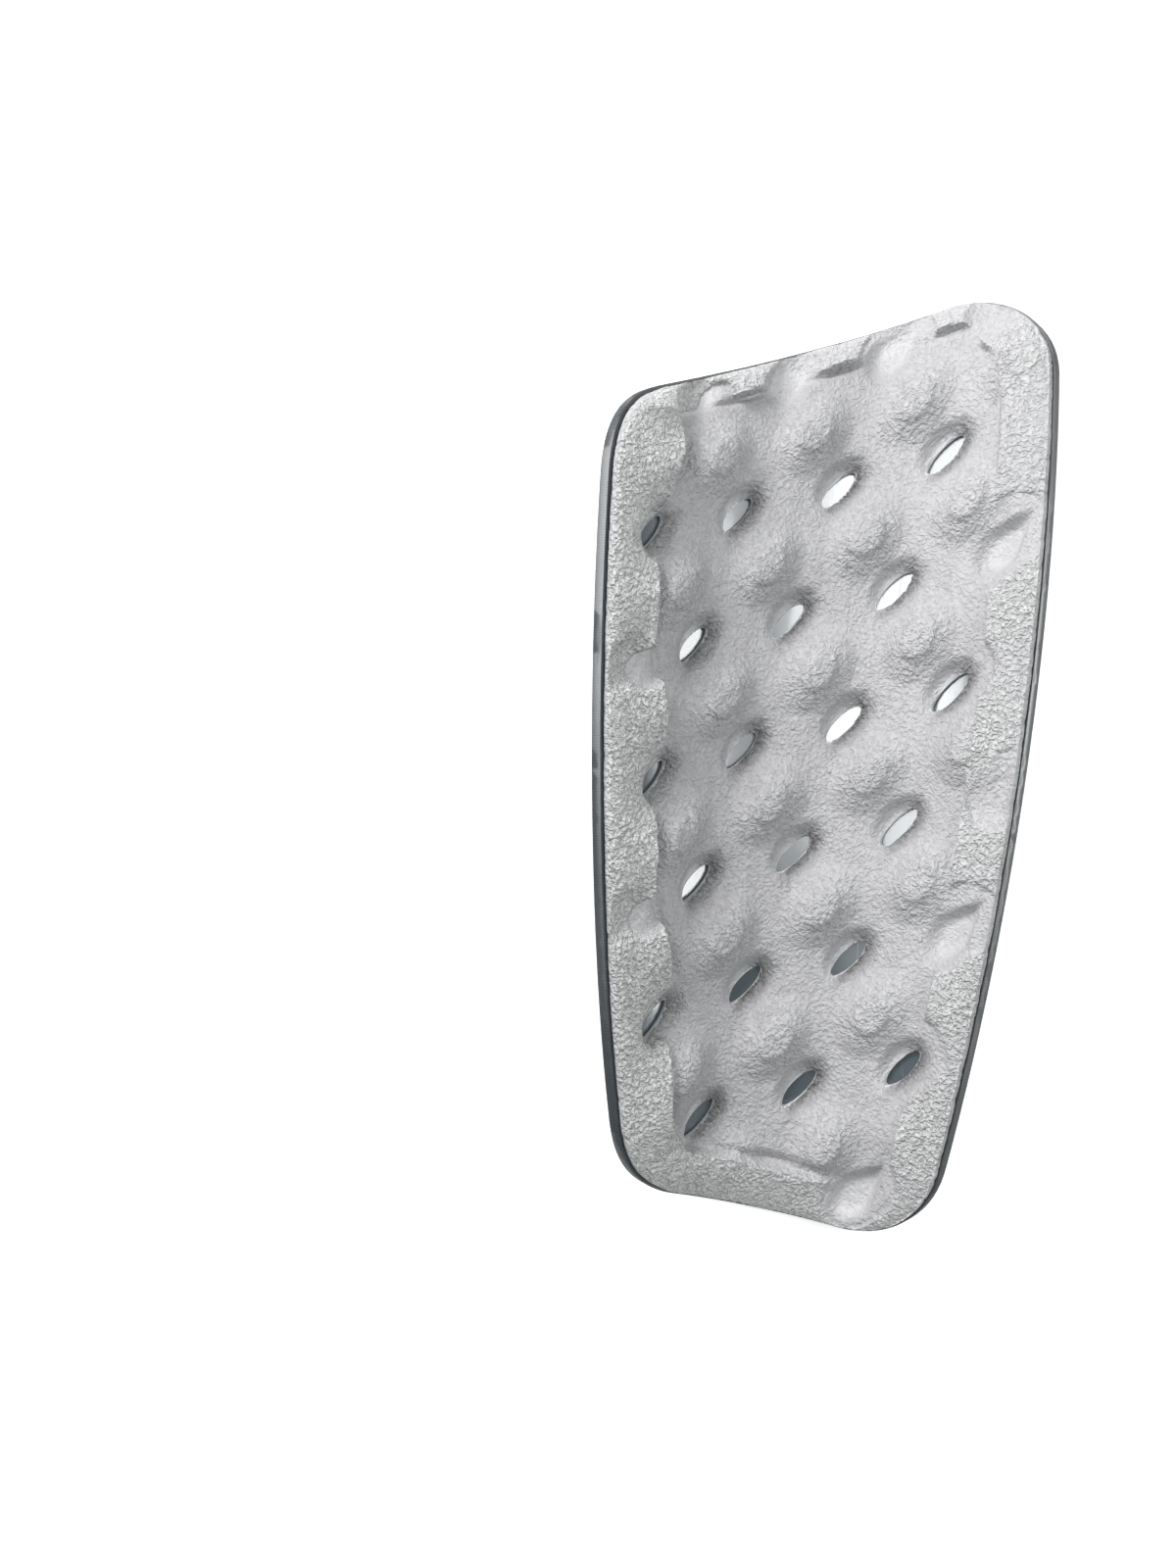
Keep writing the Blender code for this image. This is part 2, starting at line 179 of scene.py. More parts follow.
class GuardLook(bpy.types.PropertyGroup):
    """Colours and surface texture."""

    foam: tint("Foam", "Foam colour", (0.455, 0.457, 0.455))
    foam_pit: tint("Foam in pits", "Foam colour where it is stretched thin", (0.468, 0.465, 0.482))
    foam_cut: tint("Cut foam", "Colour of the cut walls of the slots", (0.78, 0.78, 0.79))
    shell: tint("Shell", "Shell colour", (0.050, 0.070, 0.082))
    grain_size: size("Grain size", "Size of the pebbles in the foam's skin", 0.00115)
    grain_depth: size("Grain depth", "Depth of the pebbled skin", 0.00095)
    # Painted shade: how much darker the grooves of the pebbled skin are drawn
    painted_groove_shade: share("Grain shade", "How much darker the grooves of the skin are", 0.48)
    crease_depth: size("Crease depth", "Fine step at the border of the rim and of the domes' caps", 0.00024)
    crease_width: size("Crease width", "Width of that fine step", 0.0010)
    # Painted shade: how much darker the foam inside the rim is drawn
    field_shade: share("Field shade", "How much darker the worn foam inside the rim is", 0.13)
    # Painted shade: how much darker the foam's colour is drawn beside the slots
    painted_slot_shade: share("Halo shade", "How much darker the foam is beside the slots", 0.62)
    weave_pitch: size("Grid pitch", "Pitch of the dotted grid on the shell's inner face", 0.00062)


class StageSettings(bpy.types.PropertyGroup):
    """Camera, floor and lights."""

    camera_u: size("Camera u", "Camera across the leg, from the ridge", -0.0499)
    camera_y: size("Camera y", "Camera along the leg", -0.0093)
    camera_height: size("Camera height", "Camera above the floor", 0.2787)
    lens: share("Lens", "Focal length in millimetres", 25.99)
    lean: turn("Lean", "Turn of the camera about the vertical", 4.36)
    floor_tint: tint("Floor", "Floor colour", (0.95, 0.95, 0.95))
    fill: share("Fill", "Strength of the even light", 0.46)
    key: share("Key", "Power of the window light in watts", 8.2)
    ceiling: share("Ceiling", "Power in watts of the ceiling that the shell mirrors", 34.0)
    wall: share("Wall", "Power in watts of the wall that the shell mirrors", 13.0)


# Fineness of the nets, curves and loops.
FINE_STEPS = (0.00015, 0.0005, 0.0010, 0.0016, 0.0023, 0.0031, 0.0040)  # first net lines, from a cut edge
PAD_CELL = 0.00078
SHELL_CELL = 0.0022
CURVE_STEPS = 160
CURVE_THINNING = 4
SLOT_STEPS = 16
BATCH = 4000
NEIGHBOURS = [(i, j) for i in (-1, 0, 1) for j in (-1, 0, 1)]

# Shapes.
CORNER_PULL = 0.39  # share of a corner's chord that makes its curve close to a round arc
LENS_ROUNDNESS = 0.52  # 0.5 makes a slot an ellipse, more makes its ends sharper
CUT_MARGIN = 0.001
SHELL_ROUND_STEPS = 3
SHELL_EDGE_ANGLE = math.radians(60)  # only edges sharper than this are rounded
SHELL_SMOOTH_ANGLE = math.radians(50)  # edges blunter than this are shaded smooth
PAD_SMOOTH_ANGLE = math.radians(40)
FACE_MARGIN = 1e-5
WELD = 1e-6
LEVEL = 1e-9  # stands in for a zero that can't be divided by

# The pad's cut edge: waves and nicks for each metre, and their shares of the ragged cut's depth.
WANDER_RATE = 260
WANDER_SHARE = 0.45
NICK_RATE = 1300
NICK_SHARE = 1.6
NICK_LEVEL = 0.1  # weaker nicks are left out
NICK_SEED = 9.0
SEED_STEP = 3.7
RAGGED_FADE = 40  # curve points over which the wandering dies away at the corners

# The foam's slow unevenness: waves for each metre, seed, and the noise's falloff, step and octaves.
UNEVEN_RATE = 95
UNEVEN_SEED = 4.0
UNEVEN_DETAIL = (1.0, 2.2, 3)

# How rough the foam's skin is, from 0 to about 1.
SKIN_FIELD = 0.32
SKIN_DOME = 0.25
SKIN_PIT = 0.1
SKIN_SLOT_SHADE = 0.4
SKIN_RIM = 0.5
SKIN_SHORT_RIM = 0.4
SKIN_KNEE_RIM = 0.3
CAP_RISE = 0.3
# Painted shade over the foam inside the rim: where it starts, how far it reaches and how it fades along the
# long side
FIELD_SHADING_START = 0.25
FIELD_SHADING_REACH = 3
FIELD_SHADING_FADE = 0.8  # how much less painted shade the field gets along the long side
BACK_VALUES = {
    "skin": 0.4,
    "halo": 0.0,
    "cap_border": 0.01,
    "cap_rise": 0.0,
    "rim_border": 0.01,
    "rim_rise": 0.0,
    "wear": 0.0,
}

# Surface textures.
WARP_RATE = 420.0
WARP_DEPTH = 0.0012
PEBBLE_HEIGHT = 0.8
WRINKLE_WIDTH = 0.16
WRINKLE_HEIGHT = 0.4
SPECK_RADII = (0.04, 0.13)
SPECK_SIZE = 0.0045
SPECK_HEIGHT = 0.3
SPECKS_LEFT_OUT = 0.8  # share of the specks' cells that stay bare
MEAN_GRAIN = 0.5
SCRATCH_STRETCH = (9.0, 0.7, 1.0)
SCRATCH_LEVELS = (0.66, 0.70)
SCRATCH_ROUGHNESS = 0.12
GRID_DEPTH = 0.00002
EDGE_SHADE = 0.72  # how much darker the shell's cut edge is
EDGE_ROUGHNESS = 0.25
SHELL_COAT = 0.3

# Stage. The paper glows more for the camera than for the guard.
STAGE_BOUNCE = (0.10, 0.10, 0.10)
STAGE_GLOW = (0.50, 0.50, 0.50)
ROOM_TINT = (0.95, 1.0, 0.99)
FLOOR_SIZE = 6.0
SENSOR_WIDTH = 36.0
CLIP_START = 0.01
SECOND_WINDOW = 0.16  # power of the right window, as a share of the left one's

# Each light's place, the point that it faces, its width and height, its colour, and whether it lights
# matt surfaces. The ceiling and the wall are there only for the shell to mirror.
LIGHTS = {
    "window_left": ((-0.50, 0.48, 0.38), (0, 0.02, 0), (0.36, 0.32), (1.0, 0.98, 1.0), True),
    "window_right": ((0.30, 0.10, 0.50), (0, 0, 0), (0.30, 0.30), (1.0, 0.99, 1.0), True),
    "ceiling": ((-0.44, 0.19, 0.70), (-0.44, 0.19, 0), (1.20, 0.46), (1.0, 1.0, 1.0), False),
    "wall": ((0.70, 0.03, 0.44), (0, 0, 0), (0.50, 0.50), (1.0, 1.0, 1.0), False),
}


def outline_sides(shape):
    """The sharp corners, anticlockwise, with the bow of the side that starts at each corner and the
    reach of the corner's rounding."""
    top = shape.long_side / 2
    return [
        (Vector((shape.knee_long_half, top)), shape.knee_bow, shape.knee_long_reach),
        (
            Vector((-shape.knee_short_half, top - shape.knee_slant)),
            shape.short_side_bow,
            shape.knee_short_reach,
        ),
        (
            Vector((-shape.ankle_short_half, shape.ankle_slant - top)),
            shape.ankle_bow,
            shape.ankle_short_reach,
        ),
        (Vector((shape.ankle_long_half, -top)), shape.long_side_bow, shape.ankle_long_reach),
    ]


def crossing(point_a, along_a, point_b, along_b):
    """The point where two lines in the plane cross."""
    part = (point_b - point_a).cross(along_b) / along_a.cross(along_b)
    return point_a + along_a * part


def inset_corners(shape, inset):
    """The sharp corners after each side has moved inwards by inset."""
    corners = [corner for corner, _, _ in outline_sides(shape)]
    moved = []
    for i, corner in enumerate(corners):
        before = (corner - corners[i - 1]).normalized()
        after = (corners[(i + 1) % 4] - corner).normalized()
        inward_before = Vector((-before.y, before.x)) * inset
        inward_after = Vector((-after.y, after.x)) * inset
        moved.append(crossing(corner + inward_before, before, corner + inward_after, after))
    return moved


def outline_curves(shape, inset=0.0):
    """Knee end, short side, ankle end and long side, each from the middle of one rounded corner to the
    middle of the next, anticlockwise."""
    corners = inset_corners(shape, inset)
    bows = [bow for _, bow, _ in outline_sides(shape)]
    reaches = [reach - inset for _, _, reach in outline_sides(shape)]
    sides = []
    for i, bow in enumerate(bows):
        start, end = corners[i], corners[(i + 1) % 4]
        along = end - start
        outward = Vector((along.y, -along.x)).normalized()
        tilt = 4 * bow / along.length
        rise = along.normalized() + outward * tilt
        fall = along.normalized() - outward * tilt
        first = start + rise * reaches[i]
        last = end - fall * reaches[(i + 1) % 4]
        sides.append((first, rise.normalized(), last, fall.normalized()))
    straights, rounds = [], []
    for i, (first, rise, last, fall) in enumerate(sides):
        third = (last - first).length / 3
        straights.append(
            interpolate_bezier(first, first + rise * third, last - fall * third, last, CURVE_STEPS + 1)
        )
        next_first, next_rise = sides[(i + 1) % 4][:2]
        pull = (next_first - last).length * CORNER_PULL
        rounds.append(
            interpolate_bezier(
                last, last + fall * pull, next_first - next_rise * pull, next_first, CURVE_STEPS + 1
            )
        )
    half = CURVE_STEPS // 2
    curves = []
    for i in range(4):
        whole = rounds[i - 1][half:-1] + straights[i] + rounds[i][1 : half + 1]
        curves.append(np.array([(point.x, point.y) for point in whole]))
    return curves


def ragged(curve, depth, seed):
    """A cut edge that wanders in and out a little, with small nicks."""
    if depth == 0:
        return curve
    along = np.gradient(curve, axis=0)
    along /= np.linalg.norm(along, axis=1)[:, None]
    inward = np.stack([-along[:, 1], along[:, 0]], axis=1)
    wander = []
    for u, v in curve:
        slow = noise.noise(Vector((u * WANDER_RATE, v * WANDER_RATE, seed)))
        nick = noise.noise(Vector((u * NICK_RATE, v * NICK_RATE, seed + NICK_SEED))) - NICK_LEVEL
        wander.append((0.5 + slow) * WANDER_SHARE + max(0.0, nick) * NICK_SHARE)
    ends = np.minimum(np.arange(len(curve)), np.arange(len(curve))[::-1]) / RAGGED_FADE
    return curve + inward * (depth * np.array(wander) * np.clip(ends, 0, 1))[:, None]


def points_at(curve, parts):
    """Points along a curve at given shares of its length."""
    lengths = np.concatenate([[0], np.cumsum(np.linalg.norm(np.diff(curve, axis=0), axis=1))])
    wanted = np.asarray(parts) * lengths[-1]
    return np.stack([np.interp(wanted, lengths, curve[:, i]) for i in (0, 1)], axis=1)


def split_at(curve, u):
    """A curve that runs towards +u, cut in two where it crosses u."""
    v = np.interp(u, curve[:, 0], curve[:, 1])
    here = np.array([[u, v]])
    return np.vstack([curve[curve[:, 0] < u], here]), np.vstack([here, curve[curve[:, 0] > u]])


def graded(length, cell, both_ends):
    """Shares from 0 to 1 with fine steps near the start, and near the end too where asked."""
    fine = np.array((0.0,) + FINE_STEPS) / length
    far = 1 - fine[-1] if both_ends else 1.0
    middle = np.linspace(fine[-1], far, max(2, round((far - fine[-1]) * length / cell) + 1))
    parts = [fine[:-1], middle]
    if both_ends:
        parts.append((1 - fine[:-1])[::-1])
    return np.concatenate(parts)


def patch(left, right, bottom, top, columns, rows):
    """Points of a net stretched between four edge curves, rows first."""
    left_points, right_points = points_at(left, rows), points_at(right, rows)
    bottom_points, top_points = points_at(bottom, columns), points_at(top, columns)
    p = np.asarray(columns)[None, :, None]
    q = np.asarray(rows)[:, None, None]
    across = (1 - p) * left_points[:, None] + p * right_points[:, None]
    along = (1 - q) * bottom_points[None] + q * top_points[None]
    twist = (1 - q) * ((1 - p) * bottom[0] + p * bottom[-1]) + q * ((1 - p) * top[0] + p * top[-1])
    return across + along - twist


def flat_net(shape, section, inset, cell, cut_depth):
    """A net of points that fills the outline, with two of its lines along the ridge's flat strip."""
    knee, short, ankle, long = [
        ragged(curve, cut_depth, i * SEED_STEP) for i, curve in enumerate(outline_curves(shape, inset))
    ]
    knee, short = knee[::-1], short[::-1]
    half = section.ridge_flat / 2
    rows = graded(shape.long_side, cell, True)
    knee_left, knee_rest = split_at(knee, -half)
    ankle_left, ankle_rest = split_at(ankle, -half)
    knee_right = split_at(knee_rest, half)[1]
    ankle_right = split_at(ankle_rest, half)[1]
    ridge_left = np.array([ankle_left[-1], knee_left[-1]])
    ridge_right = np.array([ankle_right[0], knee_right[0]])
    left_columns = graded(shape.knee_short_half, cell, False)
    right_columns = 1 - graded(shape.knee_long_half, cell, False)[::-1]
    strip = np.linspace(0, 1, max(1, round(section.ridge_flat / cell)) + 1)[1:-1]
    left_net = patch(short, ridge_left, ankle_left, knee_left, left_columns, rows)
    right_net = patch(ridge_right, long, ankle_right, knee_right, right_columns, rows)
    gap = right_net[:, :1] - left_net[:, -1:]
    strip_net = left_net[:, -1:] + gap * strip[None, :, None]
    return np.concatenate([left_net, strip_net, right_net], axis=1)


def get_places(mesh):
    """The place of each point of a mesh."""
    places = np.zeros(len(mesh.vertices) * 3, np.float32)
    mesh.vertices.foreach_get("co", places)
    return places.reshape(-1, 3)


def set_places(mesh, places):
    """Moves the points of a mesh."""
    mesh.vertices.foreach_set("co", places.astype(np.float32).ravel())


def flat_slab(name, net, thickness):
    """A slab with its lower face at w = 0, made from a grid moved onto the net."""
    row_count, column_count = net.shape[:2]
    bpy.ops.mesh.primitive_grid_add(
        x_subdivisions=column_count - 1, y_subdivisions=row_count - 1, size=2
    )
    slab = bpy.context.object
    slab.name = name
    slab.data.name = name
    places = get_places(slab.data)
    column = np.rint((places[:, 0] + 1) / 2 * (column_count - 1)).astype(int)
    row = np.rint((places[:, 1] + 1) / 2 * (row_count - 1)).astype(int)
    places[:, :2] = net[row, column]
    set_places(slab.data, places)
    solid = slab.modifiers.new("Thickness", "SOLIDIFY")
    solid.thickness = thickness
    solid.offset = 1.0
    return slab


def settle(source):
    """A plain mesh in place of an object's modifiers or curve, with loose caps welded."""
    bpy.context.view_layer.update()
    evaluated = source.evaluated_get(bpy.context.evaluated_depsgraph_get())
    mesh = bpy.data.meshes.new_from_object(evaluated)
    work = bmesh.new()
    work.from_mesh(mesh)
    bmesh.ops.remove_doubles(work, verts=work.verts, dist=WELD)
    bmesh.ops.recalc_face_normals(work, faces=work.faces)
    work.to_mesh(mesh)
    work.free()
    name = source.name
    world = source.matrix_world.copy()
    bpy.data.objects.remove(source, do_unlink=True)
    made = bpy.data.objects.new(name, mesh)
    made.matrix_world = world
    bpy.context.scene.collection.objects.link(made)
    return made


def nearest_distance(flat, starts, spans):
    """Distance of each flat point to the nearest of some straight pieces."""
    from_start = flat - starts[None]
    along = np.clip((from_start * spans).sum(-1) / (spans * spans).sum(-1), 0, 1)
    return np.linalg.norm(from_start - along[..., None] * spans, axis=-1).min(axis=1)


def side_distance(u, v, curve):
    """Distance of each flat point to an open curve."""
    distances = np.empty(len(u))
    for begin in range(0, len(u), BATCH):
        part = slice(begin, begin + BATCH)
        flat = np.stack([u[part], v[part]], axis=-1)[:, None, :]
        distances[part] = nearest_distance(flat, curve[:-1], np.diff(curve, axis=0))
    return distances


def edge_distance(u, v, points):
    """How far each flat point lies inside a closed outline, negative outside."""
    starts = np.asarray(points)
    spans = np.roll(starts, -1, axis=0) - starts
    depths = np.empty(len(u))
    for begin in range(0, len(u), BATCH):
        part = slice(begin, begin + BATCH)
        flat = np.stack([u[part], v[part]], axis=-1)[:, None, :]
        nearest = nearest_distance(flat, starts, spans)
        straddles = (starts[:, 1] > flat[..., 1]) != (np.roll(starts[:, 1], -1) > flat[..., 1])
        height = np.where(np.abs(spans[:, 1]) < LEVEL, LEVEL, spans[:, 1])
        crossing_u = starts[:, 0] + (flat[..., 1] - starts[:, 1]) / height * spans[:, 0]
        inside = (straddles & (flat[..., 0] < crossing_u)).sum(axis=1) % 2 == 1
        depths[part] = np.where(inside, nearest, -nearest)
    return depths


def closed_outline(shape, inset):
    """The outline as one closed loop of points, thinned out."""
    curves = outline_curves(shape, inset)
    return np.concatenate([curve[:-1] for curve in curves])[::CURVE_THINNING]


def grid_steps(relief):
    """The step from slot to slot in a row, and the step from a row to the next."""
    row = Vector((math.cos(relief.row_slope), math.sin(relief.row_slope))) * relief.slot_pitch
    down = Vector((math.cos(relief.row_lean), math.sin(relief.row_lean))) * relief.row_pitch
    return row, down


def grid_points(shape, relief):
    """Every point of the slanted grid, with its depth inside the outline."""
    row, down = grid_steps(relief)
    reach = math.ceil(2 * shape.long_side / min(relief.slot_pitch, relief.row_pitch))
    first = Vector((relief.first_u, relief.first_v))
    found = [
        first + row * i + down * j
        for j in range(-reach, reach + 1)
        for i in range(-reach, reach + 1)
    ]
    u = np.array([point.x for point in found])
    v = np.array([point.y for point in found])
    return list(zip(found, edge_distance(u, v, closed_outline(shape, 0.0))))


def smooth_step(value):
    """0 up to 0, 1 from 1 on, and a smooth rise between."""
    value = np.clip(value, 0, 1)
    return value * value * (3 - 2 * value)


def along_across(u, v, slope):
    """Parts of flat offsets along a slanted direction and across it."""
    return u * math.cos(slope) + v * math.sin(slope), v * math.cos(slope) - u * math.sin(slope)


def slot_surround(along, across, relief):
    """How far each point lies in the lip of a slot, which falls off to both sides of the slot's edge,
    and in the painted shade at the slot's upper end and lower side."""
    half_length, half_width = relief.slot_length / 2, relief.slot_width / 2
    reach = np.hypot(along / half_length, across / half_width)
    rate = np.hypot(along / half_length**2, across / half_width**2) / np.maximum(reach, LEVEL)
    off_edge = (reach - 1) / np.maximum(rate, LEVEL)
    lip = np.exp(-((off_edge / relief.lip_width) ** 2))
    side = smooth_step(0.5 + (along / half_length - across / half_width) / np.maximum(reach, LEVEL) / 2)
    return lip, side * np.exp(-((off_edge / relief.slot_shade_width) ** 2))


def rim_reach(u, v, shape, section, relief):
    """How deep each flat point lies in the rim: 0 at the cut edge, 1 at the rim's inner border."""
    sway = relief.rim_sway * np.cos(2 * math.pi * v / relief.sway_pitch)
    widths = (relief.knee_rim, relief.short_rim + sway, relief.ankle_rim, relief.long_rim)
    curves = outline_curves(shape, section.pad_inset)
    return np.min(
        [side_distance(u, v, curve[::CURVE_THINNING]) / width for curve, width in zip(curves, widths)], axis=0
    )


def side_shares(u, shape):
    """How far each flat point lies towards the long side and towards the short side, from 0 to 1."""
    return smooth_step(u / shape.ankle_long_half), smooth_step(-u / shape.ankle_short_half)


def dome_pattern(column, line, relief):
    """The share of a dome at each place on the grid, and how far outside its cap the place lies."""
    row, down = grid_steps(relief)
    dome_share, cap_border = 0.0, relief.slot_pitch
    for i, j in NEIGHBOURS:
        part_column, part_line = column % 1 - 0.5 - i, line % 1 - 0.5 - j
        along, across = along_across(
            row.x * part_column + down.x * part_line,
            row.y * part_column + down.y * part_line,
            relief.dome_slope,
        )
        away = np.hypot(along / relief.dome_length, across / relief.dome_width)
        dome_share = np.maximum(dome_share, smooth_step((1 - away) / relief.dome_flank))
        cap_border = np.minimum(cap_border, (away - relief.cap_reach) * relief.dome_width)
    return dome_share, cap_border


def nearby_slots(u, v, column, line, loop, relief):
    """For each of the nearest grid points, the flat points' offsets from it along and across its slot,
    and its own depth inside the pad's outline."""
    row, down = grid_steps(relief)
    for i, j in NEIGHBOURS:
        places, which = np.unique(
            np.stack([np.round(column) + i, np.round(line) + j], axis=1), axis=0, return_inverse=True
        )
        which = which.reshape(-1)
        slot_u = relief.first_u + row.x * places[:, 0] + down.x * places[:, 1]
        slot_v = relief.first_v + row.y * places[:, 0] + down.y * places[:, 1]
        depth = edge_distance(slot_u, slot_v, loop)[which]
        along, across = along_across(u - slot_u[which], v - slot_v[which], relief.slot_slope)
        yield along, across, depth


def slot_pattern(u, nearby, shape, relief):
    """Shares of the basin, the pit, the hollow in the rim, the lip and the painted shade beside a slot at
    each flat point, and how far outside a hollow it lies. Grid points too near to the edge for a slot
    are blind: along the long side their pits run out to a point, and along the short side their hollows
    lie further in."""
    long_side, short_side = side_shares(u, shape)
    basin, pit_share, notch_share, lip, halo = np.zeros((5, len(u)))
    notch_border = np.full(len(u), relief.slot_pitch)
    for along, across, depth in nearby:
        is_slot = depth > relief.slot_to_edge
        present = smooth_step(depth / relief.pit_to_edge)
        notched = smooth_step(0.5 + depth / relief.notch_fade / 2)
        near_lip, near_slot_shade = slot_surround(along, across, relief)
        lip, halo = np.maximum(lip, near_lip * is_slot), np.maximum(halo, near_slot_shade * is_slot)
        along = along - relief.pit_shift
        bowl = np.exp(-((along / relief.basin_length) ** 2) - (across / relief.basin_width) ** 2)
        basin = np.maximum(basin, bowl * present)

        pointed = long_side * (1 - is_slot)
        tip = relief.pit_length + relief.pit_tip * pointed
        taper = np.clip(1 - np.maximum(along, 0) / tip * pointed, LEVEL, 1)
        pit_reach = np.where(along > 0, tip, relief.pit_length)
        steep = np.hypot(along / pit_reach, across / relief.pit_width / taper)
        pit_share = np.maximum(pit_share, smooth_step((1 - steep) / relief.pit_wall) * present)

        inward = relief.notch_shift * short_side * (1 - is_slot / 2)
        off_across = across + inward * math.sin(relief.slot_slope)
        away = np.hypot(
            along - inward * math.cos(relief.slot_slope),
            off_across * relief.basin_length / relief.basin_width,
        )
        away = away - relief.pit_tip * long_side * np.clip(along / relief.rim_notch, 0, 1)
        reach = relief.rim_notch * (0.5 + 0.5 * notched) * (1 - relief.short_notch * short_side)
        hollow = smooth_step((reach - away) / relief.rim_slope + 0.5) * notched
        notch_share = np.maximum(notch_share, hollow)
        notch_border = np.minimum(notch_border, away - reach * notched)
    return basin, pit_share, notch_share, lip, halo, notch_border


def pad_relief(u, v, shape, section, relief):
    """Height of the pad's face above its back at each flat point, and what the foam's material has to
    know there: how rough the skin is, how much painted shade lies beside a slot, how far outside the
    border of a dome's cap and of the rim the point lies, how high the step at that border is, and how
    much painted shade darkens the foam inside the rim."""
    row, down = grid_steps(relief)
    to_grid = np.linalg.inv(np.array([[row.x, down.x], [row.y, down.y]]))
    column, line = to_grid @ np.stack([u - relief.first_u, v - relief.first_v])
    loop = closed_outline(shape, section.pad_inset)
    long_side, short_side = side_shares(u, shape)
    dome_share, cap_border = dome_pattern(column, line, relief)
    nearby = nearby_slots(u, v, column, line, loop, relief)
    basin, pit_share, notch_share, lip, halo, notch_border = slot_pattern(u, nearby, shape, relief)

    height = relief.valley_height + (relief.dome_height - relief.valley_height) * dome_share
    height = height - relief.cap_height * smooth_step(0.5 + cap_border / relief.cap_edge) * dome_share
    inside = edge_distance(u, v, loop)
    height = height + (relief.rim_edge - height) * smooth_step(1 - inside / relief.edge_fade)
    reach = rim_reach(u, v, shape, section, relief)
    past_rim = (reach - 1) * relief.long_rim
    moat = relief.moat_depth * (1 - relief.long_side_fill * long_side)
    height = height - moat * np.exp(-((past_rim / relief.moat_width - 1) ** 2))
    rise = relief.rim_height + relief.short_rim_rise * short_side - relief.rim_edge
    rim = relief.rim_edge + rise * np.clip(reach, 0, 1) ** relief.rim_curve
    rim_share = smooth_step(0.5 - past_rim / relief.rim_slope) * (1 - notch_share)
    rim_rise = np.clip((rim - height) / relief.rim_height, 0, 1)
    height = height + (rim - height) * rim_share
    height = height + np.minimum(relief.basin_floor - height, 0) * basin
    height = height + (relief.pit_floor - height) * pit_share
    height = height + relief.lip_height * lip
    shoulder = 1 - np.clip(inside / relief.rim_shoulder, 0, 1)
    height = height + (relief.rim_edge - height) * (1 - np.sqrt(1 - shoulder**2))

    knee_end = smooth_step(2 * v / shape.long_side)
    skin = SKIN_FIELD + SKIN_DOME * dome_share - SKIN_PIT * pit_share + SKIN_SLOT_SHADE * halo
    skin = skin + (SKIN_RIM + SKIN_SHORT_RIM * short_side - SKIN_KNEE_RIM * knee_end) * rim_share
    # Painted shade over the foam inside the rim, rising from just inside the rim's inner border
    wear = smooth_step(FIELD_SHADING_START + past_rim / relief.moat_width / FIELD_SHADING_REACH)
    return height, {
        "skin": skin,
        "halo": halo,
        "cap_border": cap_border,
        "cap_rise": np.full(len(u), CAP_RISE),
        "rim_border": np.maximum(past_rim, -notch_border),
        "rim_rise": rim_rise,
        "wear": wear * (1 - FIELD_SHADING_FADE * long_side),
    }


def bent_place(u, v, w, shape, section):
    """Where flat points come to lie once the sheet is bent round the leg."""
    along = (v + shape.long_side / 2) / shape.long_side
    radius = section.ankle_radius + (section.knee_radius - section.ankle_radius) * along
    strip = section.ridge_flat / 2
    angle = np.maximum(np.abs(u) - strip, 0) / radius
    across = np.minimum(np.abs(u), strip) + (radius - w) * np.sin(angle)
    return np.sign(u) * across, v, radius - (radius - w) * np.cos(angle)


def bend(flat, base, shape, section):
    """Bends a flat piece round the leg, its lowest face at height base above the shell's outer face,
    and moves it into the guard's frame. Returns the flat place of each point."""
    u, v, w = get_places(flat.data).astype(float).T
    w = w + base
    bent = np.stack(bent_place(u, v, w, shape, section), axis=1) + np.array(frame_shift(shape, section))
    set_places(flat.data, bent)
    flat.data.update()
    return u, v, w


def add_values(mesh, name, values):
    """Stores a number for each point of a mesh, for its material."""
    kind = "FLOAT_VECTOR" if values.ndim == 2 else "FLOAT"
    layer = mesh.attributes.new(name, kind, "POINT")
    layer.data.foreach_set("vector" if values.ndim == 2 else "value", values.astype(np.float32).ravel())


def frame_shift(shape, section):
    """The move from the bent pieces' own frame to the guard's frame, whose origin is at the middle of
    the shell's box."""
    edge = np.concatenate(outline_curves(shape))
    x, y, _ = bent_place(edge[:, 0], edge[:, 1], 0.0, shape, section)
    low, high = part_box("shell")
    middle_x = (x.min() + x.max()) / 2
    middle_y = (y.min() + y.max()) / 2
    return Vector(((low.x + high.x) / 2 - middle_x, (low.y + high.y) / 2 - middle_y, low.z))


def prisms(name, loops, low, high):
    """Upright prisms over closed flat loops, as one cutter."""
    curve = bpy.data.curves.new(name, "CURVE")
    curve.dimensions = "2D"
    curve.fill_mode = "BOTH"
    curve.extrude = (high - low) / 2
    for loop in loops:
        spline = curve.splines.new("POLY")
        spline.points.add(len(loop) - 1)
        for point, (u, v) in zip(spline.points, loop):
            point.co = (u, v, 0, 1)
        spline.use_cyclic_u = True
    drawn = bpy.data.objects.new(name, curve)
    drawn.matrix_world = Matrix.Translation((0, 0, (low + high) / 2))
    bpy.context.scene.collection.objects.link(drawn)
    return settle(drawn)


def lens_loop(centre, relief):
    """The lens-shaped outline of one slot, going once round."""
    cosine, sine = math.cos(relief.slot_slope), math.sin(relief.slot_slope)
    loop = []
    for i in range(2 * SLOT_STEPS):
        turned = math.pi * i / SLOT_STEPS
        x = math.cos(turned)
        half = abs(math.sin(turned)) ** (2 * LENS_ROUNDNESS) * math.copysign(1, math.sin(turned))
        x *= relief.slot_length / 2
        half *= relief.slot_width / 2
        loop.append((centre.x + x * cosine - half * sine, centre.y + x * sine + half * cosine))
    return loop


def cut(target, cutter):
    """Takes the cutter's shape out of the target and removes the cutter."""
    boolean = target.modifiers.new("Cut", "BOOLEAN")
    boolean.operation = "DIFFERENCE"
    boolean.solver = "EXACT"
    boolean.object = cutter
    made = settle(target)
    bpy.data.objects.remove(cutter, do_unlink=True)
    return made


